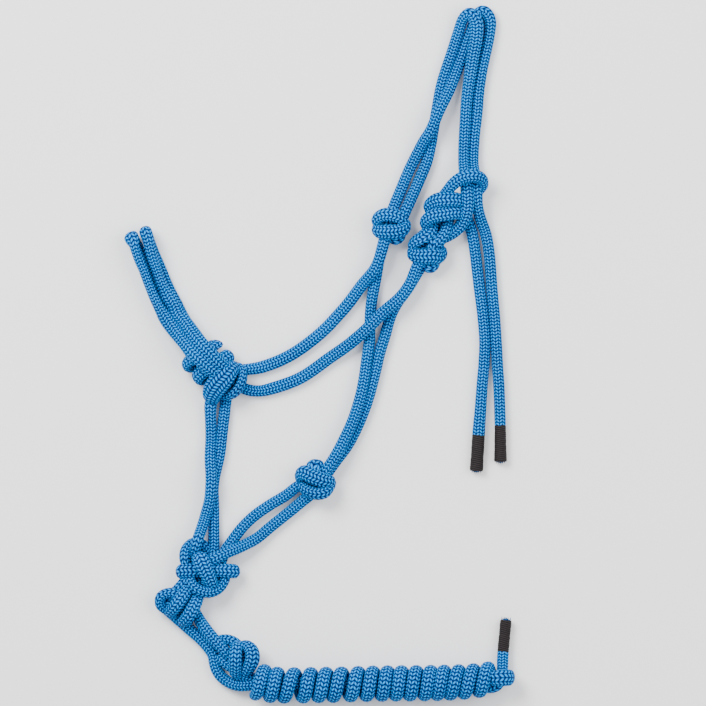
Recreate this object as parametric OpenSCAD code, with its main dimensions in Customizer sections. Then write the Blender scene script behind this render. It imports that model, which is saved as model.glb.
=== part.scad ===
// Rope halter with a short lead, folded flat on its side.
// The near half of the halter lies over and beside the far half.
// +X points from the nose to the poll side, +Y towards the crown, +Z up.
// The origin is the middle of the part's footprint, on the surface it lies on.

/* [Rope] */
// Diameter of the halter and lead rope
rope_d = 8.5; // [7.5:0.1:8.5]
// Width of a rope where a knot squeezes it flat
band_w = 10.6; // [9.6:0.1:11.6]
// Height of a knot lying on its side
knot_h = 22; // [20:0.5:24]

/* [Whippings] */
// Outer diameter of the black whipping on each rope end
whip_d = 9.1; // [9:0.1:9.8]
// Length of each whipping
whip_l = 27; // [24:1:30]

/* [Lead] */
// Outer diameter of the wrapped lead
coil_d = 26; // [24:0.5:27]
// Width of one flattened turn of the wrapped lead
turn_w = 9.8; // [9:0.1:10.4]

/* [Clearances] */
// Gap between pieces that swing past each other
swing_gap = 0.4; // [0.3:0.1:0.6]

/* [Hidden] */

rope_r = rope_d / 2;
tube_sides = 12;
ball_fn = 16;
up = [0, 0, 1];
rope_blue = [0.02, 0.42, 0.78];
whip_black = [0.06, 0.06, 0.07];

// Hinge points, where a moving rope leaves a knot that stays put
noseband_hinge = [-103, 17];
noseband_side = [0.87, 0.49, 0];
tail_left_hinge = [113, 93, 5];
tail_right_hinge = [123, 94, 5];
lead_hinge = [-87.5, -211.5];
lead_side = [0.71, 0.70, 0];
tip_hinge = [136.5, -237, 12.5];

// Middles of the coil's turns along the lead, and the line it is wound on
turn_x = [-44, -34, -22.5, -8.5, 2, 12.5, 25, 36, 47.5, 58, 69, 79.5, 90.5, 101, 111.5, 122];
coil_y = -248;
coil_z = coil_d / 2;

// Routes of the ropes' centre lines
crown_outer_route = [
    [96, 88, 6], [104, 95, 11], [109, 106, 17], [110, 118, 17.5], [108.5, 133, 14],
    [107.5, 150, 7], [108, 172, 4.5], [110, 187, 4.5], [115, 212, 6.5], [118, 232, 12],
    [118, 245, 13.5], [116, 251, 13.5], [112, 254, 12.5], [108, 251, 11], [104.5, 243, 8.5],
    [99.5, 229, 5], [93, 213, 4.5], [86.5, 185, 4.5], [86, 175, 4.5], [84.5, 157, 4.5],
    [81, 142, 5], [74, 123, 7.5], [68, 111, 11]
];
crown_inner_route = [
    [95, 84, 11], [105, 88, 13], [112.5, 95, 16.5], [117, 105, 17.5], [118.5, 118, 17.5], [117.5, 133, 14],
    [116.5, 150, 7], [117.5, 172, 4.5], [120, 187, 4.5], [124.5, 213, 4.5],
    [127, 235, 4.5], [127.5, 248, 4.5], [124, 257.5, 4.5], [118.5, 254, 4.5],
    [115, 244, 4.5], [111, 232, 4.5], [106.5, 221, 4.5], [102, 211, 6], [97, 200, 10],
    [91.5, 187, 12.5], [86, 175.5, 13.3], [78, 163, 9.5], [70, 146, 5.5], [63, 131, 5],
    [58, 120, 8], [54, 110, 11]
];
eye_route = [
    [79, 88, 11], [84, 98, 11.5], [90, 110, 12], [93, 120, 13.5], [99.5, 127.5, 19],
    [107.5, 133, 23], [115.5, 135, 23], [122, 133, 20], [125.5, 129.5, 13.5],
    [122, 124, 7], [115, 118, 4.5], [106, 110, 5], [98.5, 103, 8], [94.5, 98, 9]
];
cheek_near_route = [
    [74, 70, 13], [72.5, 62, 13], [64, 49, 13.2], [51, 37, 13.2], [38.5, 27, 13.2],
    [26, 15.5, 10], [15, 6, 5.5], [0, -6, 4.5], [-15, -17, 4.5], [-37, -26, 5],
    [-52, -28, 9], [-60, -27, 11]
];
cheek_far_route = [
    [49, 89, 13], [47, 80, 13.2], [43.5, 69, 13.2], [34, 55, 10], [21, 39, 5], [0, 16, 4.5],
    [-22, 0, 4.5], [-42, -9, 4.5], [-56, -11, 5], [-64, -11, 5]
];
throat_near_route = [
    [76, 70, 4.5], [72.5, 62, 4.5], [64, 48, 4.5], [55, 31.5, 4.5], [49, 19, 4.5], [44.5, 1, 4.5],
    [41, -12, 4.5], [37.5, -25, 4.5], [31, -48, 4.5], [22, -64, 4.5], [12, -76, 5], [4, -86, 8]
];
throat_far_route = [
    [51, 88, 4.5], [47, 80, 4.5], [43.5, 69, 4.5], [39, 50, 4.5], [38, 31, 4.5], [37, 12, 4.5],
    [35.5, 0, 6], [34, -12, 10], [30, -32, 12.5], [24, -51, 13.2], [17, -66, 13.5], [7, -79, 14],
    [1, -86, 15]
];
jaw_upper_route = [
    [-9, -93, 8], [-16, -99, 6], [-27, -106, 4.5], [-38, -113.5, 4.5], [-49, -122.5, 4.5],
    [-60, -132, 4.5], [-67, -140, 4.5], [-75, -149, 5]
];
jaw_lower_route = [
    [-6, -101, 8], [-13, -108.5, 5], [-22, -116, 4.5], [-33, -125, 4.5], [-45, -135.5, 6.5],
    [-55, -142, 13], [-65, -147, 15.5], [-76, -153, 18]
];
chin_near_route = [
    [-79, -27, 16], [-82, -36, 9], [-82, -49, 5.5], [-82.5, -61, 7.5], [-82, -73, 11], [-81.5, -84, 13],
    [-81, -98, 13.3], [-80.5, -110, 12.5], [-79.5, -122, 8], [-79, -136, 5.5], [-79, -149, 6]
];
chin_far_route = [
    [-73, -24, 5], [-71.5, -36, 4.5], [-72.5, -49, 4.5], [-73.5, -61, 4.5], [-76, -73, 4.5],
    [-78.5, -84, 4.5], [-81.5, -98, 4.5], [-85, -110, 4.5], [-87.5, -122, 4.5], [-90, -136, 7],
    [-92, -149, 12]
];
noseband_left_route = [
    [-101.5, 6.5, 22], [-107.5, 14, 19], [-113.5, 25, 15], [-120, 35, 13.5], [-126, 46, 13.5], [-131, 64, 14],
    [-137, 76, 16], [-140.5, 83.5, 17.5], [-142, 87.5, 15.5], [-142.5, 88.5, 11], [-142, 87.5, 6.8],
    [-140, 83, 4.5], [-136, 75, 4.5], [-130.5, 63, 4.5], [-125.5, 46, 4.5], [-113.5, 25, 4.5],
    [-107.5, 14, 5.5], [-102, 6.5, 7]
];
noseband_right_route = [
    [-93, 12, 22], [-98.5, 19.5, 19], [-103, 28, 15], [-108.5, 40, 13.5], [-115, 54, 13.5], [-121.5, 68, 14],
    [-127.5, 81, 16], [-130.5, 88, 17.5], [-131.5, 91.5, 15.5], [-132, 92.5, 11], [-131.5, 91.5, 6.8],
    [-130, 87, 4.5], [-127, 80, 4.5], [-121, 67, 4.5], [-115, 54, 4.5], [-103, 28, 4.5],
    [-98.5, 19.5, 5.5], [-93.5, 12, 7]
];
stub_left_route = [[-107.5, 14, 19], [-101.5, 6.5, 22], [-95, -1, 26.8], [-87, -9, 26.8], [-80, -16, 22]];
stub_right_route = [[-98.5, 19.5, 19], [-93, 12, 22], [-86, 4, 26.8], [-78, -5, 26.8], [-71, -13, 22]];
tail_left_route = [
    [113, 93, 5], [117, 75, 4.5], [119.5, 49, 4.5], [122, 28, 4.5], [123, 10, 4.5],
    [121, -23, 4.8], [119.5, -58, 4.8], [118, -86.5, 4.8]
];
tail_right_route = [
    [123, 94, 5], [126.5, 75, 4.5], [130, 49, 4.5], [132, 28, 4.5], [133, 10, 4.5],
    [135.5, -23, 4.8], [136, -52, 4.8], [136, -80, 4.8]
];
lead_loop_route = [
    [-84, -208.5, 5.5], [-86.5, -205.5, 5], [-91, -199, 5], [-95.5, -192.5, 5.5], [-100, -184.5, 7],
    [-106, -178.5, 8.5], [-113, -177, 9.5], [-119.5, -179.5, 9.5], [-120.5, -185.5, 8.5],
    [-115.5, -192, 6.5], [-108, -198.5, 5.5], [-101, -204.8, 5], [-94.5, -211, 5], [-91, -214, 5]
];
neck_outer_route = [[-101, -204.8, 5], [-94.5, -211, 5], [-88, -216.5, 5.5], [-81, -222, 8], [-72, -227, 10]];
neck_inner_route = [[-91, -199, 5], [-86.5, -205.5, 5], [-82, -211, 6], [-76, -217, 8], [-68, -222, 10]];
knot_ring_route = [
    [-74, -213, 7], [-79.5, -219, 6], [-81, -227, 5], [-78, -237, 4.5], [-70, -244.5, 4.5],
    [-60, -248, 5.5], [-51.5, -248, 9]
];
bight_route = [
    [124, -248, 4.5], [134, -248, 4.5], [139, -248, 5.5], [142, -248, 9], [142.6, -248, 13],
    [142, -248, 17.5], [139, -248, 21], [134, -248, 21.8], [124, -248, 21.8]
];
tuck_route = [[119, -256.5, 10], [127, -255, 12.5], [133, -249.5, 13], [136, -243, 13], [136.5, -237, 12.5]];
tip_route = [[136.5, -237, 12.5], [136.8, -229, 10], [137.3, -221, 7.5], [138.3, -209, 5.5], [139.5, -195.5, 5]];

// Unit vector along v
function unit(v) = v / norm(v);

// Direction of a route at its point i
function heading(route, i) =
    unit(route[min(i + 1, len(route) - 1)] - route[max(i - 1, 0)]);

// One ring of points round p, square to t; keep is the vector that fixes the ring's turn
function ring(p, t, keep, r) =
    let (a = unit(keep - (keep * t) * t), b = cross(t, a))
    [for (k = [0:tube_sides - 1])
        let (turn = (k + 0.5) * 360 / tube_sides)
        p + r * (a * cos(turn) + b * sin(turn))];

// A rope swept along a route, one closed solid; dome rounds its first end
module rope(route, keep = up, r = rope_r, dome = false) {
    n = tube_sides;
    first = heading(route, 0);
    rings = concat(
        dome ? [for (a = [60, 30]) ring(route[0] - r * sin(a) * first, first, keep, r * cos(a))] : [],
        [for (i = [0:len(route) - 1]) ring(route[i], heading(route, i), keep, r)]
    );
    m = len(rings);
    points = [for (q = rings) each q];
    walls = [for (i = [0:m - 2], k = [0:n - 1])
        [i * n + k, (i + 1) * n + k, (i + 1) * n + (k + 1) % n, i * n + (k + 1) % n]];
    start = [[for (k = [0:n - 1]) k]];
    finish = [[for (k = [n - 1:-1:0]) (m - 1) * n + k]];
    polyhedron(points = points, faces = concat(start, walls, finish), convexity = 6);
}

// One turn of rope round a knot: from a to b in plan, standing from low to high
module band(a, b, low = 0, high = knot_h, w = band_w) {
    lean = 2.5 * unit(b - a);
    hull() {
        for (p = [[a[0], a[1], low + w / 2], [b[0], b[1], low + w / 2],
                  [a[0] + lean[0], a[1] + lean[1], high - w / 2],
                  [b[0] - lean[0], b[1] - lean[1], high - w / 2]])
            translate(p) sphere(d = w, $fn = ball_fn);
    }
}

// Keeps what is above the surface, so a knot rests on a flat patch
module on_floor() {
    intersection() {
        children();
        translate([-200, -300, 0]) cube([400, 600, 60]);
    }
}

// A sleeve on a rope end, from p towards q
module whipping(p, q) {
    dir = q - p;
    translate(p) rotate([0, acos(dir[2] / norm(dir)), atan2(dir[1], dir[0])])
        difference() {
            cylinder(d = whip_d, h = whip_l, $fn = 48);
            translate([0, 0, -1]) cylinder(r = rope_r + 0.05, h = whip_l + 2, $fn = 48);
        }
}

// The disc round a hinge in which a pair of ropes turns
module hinge_disc(at, r) {
    translate([at[0], at[1], -1]) cylinder(r = r, h = 60, $fn = 64);
}

// The side of a hinge line that the fixed ropes come from
module fixed_side(at, side) {
    along = cross(side, up);
    translate([at[0], at[1], -1]) rotate([0, 0, atan2(along[1], along[0])])
        translate([0, -30, 0]) cube([60, 60, 60]);
}

pair_r = rope_d + 1.4;
neck_r = rope_d + 1.6;

// Strands of the crown, with the bight that goes behind the eye loop
module crown_strand_outer() color(rope_blue) rope(crown_outer_route);
module crown_strand_inner() color(rope_blue) rope(crown_inner_route);

// The doubled turns of the crown ends round the neck of the eye loop
module crown_hitch() color(rope_blue)
    difference() {
        on_floor() {
            band([79.5, 108.5], [104, 114], -0.3, 24, 12);
            band([76.5, 98], [104, 103.5], -0.3, 24, 12);
            band([108, 104], [117, 103], -0.3, 13);
        }
        translate(tail_left_hinge) sphere(r = rope_r + swing_gap, $fn = 32);
        translate(tail_right_hinge) sphere(r = rope_r + swing_gap, $fn = 32);
    }
module eye_loop() color(rope_blue) rope(eye_route, keep = [-1, 3, -3]);

// Cheek knots: two turns and the tip of a third below them
module cheek_knot_near() color(rope_blue) on_floor() {
    band([72, 85.5], [86, 88.5], -0.8, knot_h, 12);
    band([70.5, 75.5], [89, 76], -0.8, knot_h, 12);
    band([80, 69.5], [83, 69.5], -0.3, 16);
}
module cheek_knot_far() color(rope_blue) on_floor() {
    band([44, 104], [60.5, 104.5], -0.8, knot_h, 13);
    band([43.8, 93], [62.3, 92.5], -0.8, knot_h, 13);
    band([54, 88], [57.5, 88.5], -0.3, 16);
}
module cheek_strand_near() color(rope_blue) rope(cheek_near_route);
module cheek_strand_far() color(rope_blue) rope(cheek_far_route);
module throat_strand_near() color(rope_blue) rope(throat_near_route);
module throat_strand_far() color(rope_blue) rope(throat_far_route);

// Throat knot: two long turns and the top of a third
module throat_knot() color(rope_blue) on_floor() {
    band([-13, -88], [6.5, -94.5], -0.8, 24);
    band([-10, -98.5], [6, -101.5], -0.8, 22);
    band([-5, -84.5], [-2, -84.5], -0.3, 18);
}
module jaw_strand_upper() color(rope_blue) rope(jaw_upper_route);
module jaw_strand_lower() color(rope_blue) rope(jaw_lower_route);

// Nose knots: the far one under the noseband, the near one beside it
module nose_knot_far() color(rope_blue) on_floor() {
    band([-98, -5.5], [-82, 6], -0.8, 21.5, 13);
    band([-90, -16], [-73, -2.5], -0.8, 21.5, 13);
}
module nose_knot_near() color(rope_blue) on_floor() {
    band([-79, -24], [-67, -11], 2, 27);
    band([-69, -28], [-60, -18], 0, 24);
}
module nose_stub(route) color(rope_blue)
    difference() {
        rope(route, keep = noseband_side);
        hinge_disc(noseband_hinge, pair_r + swing_gap);
    }
module nose_strand_left() nose_stub(stub_left_route);
module nose_strand_right() nose_stub(stub_right_route);
module chin_strand_near() color(rope_blue) rope(chin_near_route);
module chin_strand_far() color(rope_blue) rope(chin_far_route);

// Ropes that turn with a hinge: all past the hinge line, and the disc round it
module turning(at, side, r) {
    difference() {
        children();
        difference() {
            fixed_side(at, side);
            hinge_disc(at, r);
        }
    }
}

// Fiador knot: cross turn, top loop, middle turn and bottom loop
module fiador_knot() color(rope_blue) on_floor() {
    band([-101, -161.5], [-67, -163], -0.8, 19);
    band([-98, -150], [-99, -158], -0.3, 15);
    band([-88, -153], [-82, -170], 6, 25);
    band([-92, -173], [-76, -172.5], -0.3, 16);
}
// The doubled loops under it, with the passage of the lead's bight through them
module fiador_loops() color(rope_blue)
    difference() {
        on_floor() {
            band([-97, -178], [-111, -189.5], -0.3, 21);
            band([-90.5, -183.5], [-101, -197.5], -0.3, 20);
        }
        rope(lead_loop_route, r = rope_r + 0.1);
    }
module lead_loop() color(rope_blue)
    difference() {
        rope(lead_loop_route);
        hinge_disc(lead_hinge, neck_r + swing_gap);
    }

module noseband_strand_left() color(rope_blue)
    turning(noseband_hinge, noseband_side, pair_r) rope(noseband_left_route, keep = noseband_side);
module noseband_strand_right() color(rope_blue)
    turning(noseband_hinge, noseband_side, pair_r) rope(noseband_right_route, keep = noseband_side);

// Free ends of the crown, and their whippings
module tail(route) color(rope_blue) rope(route, dome = true);
module crown_tail_left() tail(tail_left_route);
module crown_tail_right() tail(tail_right_route);
module whipping_left() color(whip_black) whipping([119.4, -59, 4.8], [118, -86, 4.8]);
module whipping_right() color(whip_black) whipping([136, -52.5, 4.8], [136, -79.5, 4.8]);

// Lead: neck, stopper knot with its ring, core, wrapped turns and tucked end
module lead_neck_outer() color(rope_blue)
    turning(lead_hinge, -lead_side, neck_r) rope(neck_outer_route);
module lead_neck_inner() color(rope_blue)
    turning(lead_hinge, -lead_side, neck_r) rope(neck_inner_route);
module lead_knot() color(rope_blue) on_floor() {
    band([-62, -220.5], [-62.5, -238], -0.8, 24, 11.5);
    band([-51.5, -218.5], [-52, -236], -0.8, 24, 11.5);
}
module lead_knot_ring() color(rope_blue) rope(knot_ring_route);
module lead_core() color(rope_blue)
    translate([-51, coil_y, coil_z]) rotate([0, 90, 0]) cylinder(r = rope_r - 0.05, h = 178, $fn = 48);
module lead_bight() color(rope_blue) rope(bight_route, keep = [0, 1, 0]);
module lead_coil() color(rope_blue)
    translate([0, coil_y, coil_z]) rotate([0, 90, 0]) rotate_extrude($fn = 96)
        intersection() {
            union() {
                translate([rope_r + 0.2, turn_x[0]]) square([3, turn_x[15] - turn_x[0]]);
                for (x = turn_x) translate([rope_r + 0.2 + turn_w / 2 - 1.1, x]) circle(d = turn_w, $fn = 48);
            }
            translate([rope_r + 0.2, -60]) square([coil_d / 2 - rope_r - 0.2, 200]);
        }
module lead_tuck() color(rope_blue)
    difference() {
        rope(tuck_route);
        translate(tip_hinge) sphere(r = rope_r + swing_gap, $fn = 32);
    }
module lead_tip() tail(tip_route);
module whipping_lead() color(whip_black) whipping([137.6, -221.5, 7.4], [139.6, -195, 5.1]);

crown_strand_outer();
crown_strand_inner();
crown_hitch();
eye_loop();
cheek_knot_near();
cheek_knot_far();
cheek_strand_near();
cheek_strand_far();
throat_strand_near();
throat_strand_far();
throat_knot();
jaw_strand_upper();
jaw_strand_lower();
nose_knot_near();
nose_knot_far();
nose_strand_left();
nose_strand_right();
chin_strand_near();
chin_strand_far();
fiador_knot();
fiador_loops();
lead_loop();
noseband_strand_left();
noseband_strand_right();
crown_tail_left();
whipping_left();
crown_tail_right();
whipping_right();
lead_neck_outer();
lead_neck_inner();
lead_knot();
lead_knot_ring();
lead_core();
lead_coil();
lead_bight();
lead_tuck();
lead_tip();
whipping_lead();
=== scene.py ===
import math

import bpy
import numpy as np
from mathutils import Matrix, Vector


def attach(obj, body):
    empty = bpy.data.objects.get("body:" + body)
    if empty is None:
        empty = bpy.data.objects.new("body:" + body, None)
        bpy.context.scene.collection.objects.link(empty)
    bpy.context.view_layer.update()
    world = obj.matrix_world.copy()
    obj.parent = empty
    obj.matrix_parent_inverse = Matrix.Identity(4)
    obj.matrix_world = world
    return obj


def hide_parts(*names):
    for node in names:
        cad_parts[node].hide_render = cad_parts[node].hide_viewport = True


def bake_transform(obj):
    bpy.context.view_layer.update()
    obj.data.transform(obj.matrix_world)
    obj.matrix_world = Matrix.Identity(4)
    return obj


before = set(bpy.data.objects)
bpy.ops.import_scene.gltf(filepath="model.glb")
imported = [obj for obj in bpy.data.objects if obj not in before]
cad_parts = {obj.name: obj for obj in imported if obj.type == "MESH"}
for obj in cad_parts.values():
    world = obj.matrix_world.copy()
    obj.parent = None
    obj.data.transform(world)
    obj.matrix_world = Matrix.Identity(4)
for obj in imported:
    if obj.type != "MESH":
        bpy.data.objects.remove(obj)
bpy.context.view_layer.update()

# A rope halter laid flat on its side, with a short lead wrapped round itself. Each strand and each turn of
# a knot is a rope swept along a route of its own, and each piece stands for the CAD nodes of the same part.

MM = 0.001                  # lengths below are in mm, unless they say otherwise

# The rope and its braid: columns of slanted stitches, in the mesh and in the material
R = 4.25                    # rope radius
FULL_R = R + 0.17           # radius at the top of a stitch, so that the mean is about R
SLIT = 0.42                 # depth of the slits between stitches
COLUMNS = 12                # columns of stitches round the rope
PITCH = 2.45                # length of one stitch along the rope
SLANT = 0.64                # how far a stitch climbs across its column, in stitches
ALONG_POWER = 1.9           # how sharply a stitch falls off at its ends
ACROSS_POWER = 2.6          # how sharply it falls off at its sides
ACROSS_DIP = 0.7            # and how far, from 0 to 1

SEGMENTS = 4 * COLUMNS      # mesh sides round the rope
STEP = PITCH / 3            # distance between mesh rings along the rope
ROUTE_STEP = 2.0            # distance between points of a route once it is smooth
SQUEEZE = 0.45              # how much thinner a rope gets for each part that it is widened

# Whippings: fine thread wound round the rope's ends
WHIP_R = 4.35               # radius of a whipping
WHIP_RELIEF = 0.22          # depth between two threads
WHIP_SEGMENTS = 72          # mesh sides round a whipping
WHIP_STEP = 0.3             # distance between mesh rings along it
THREADS = 1.6               # threads in the length of one stitch
THREAD_SLANT = 0.25         # how far a thread climbs from one column to the next, in threads

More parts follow.
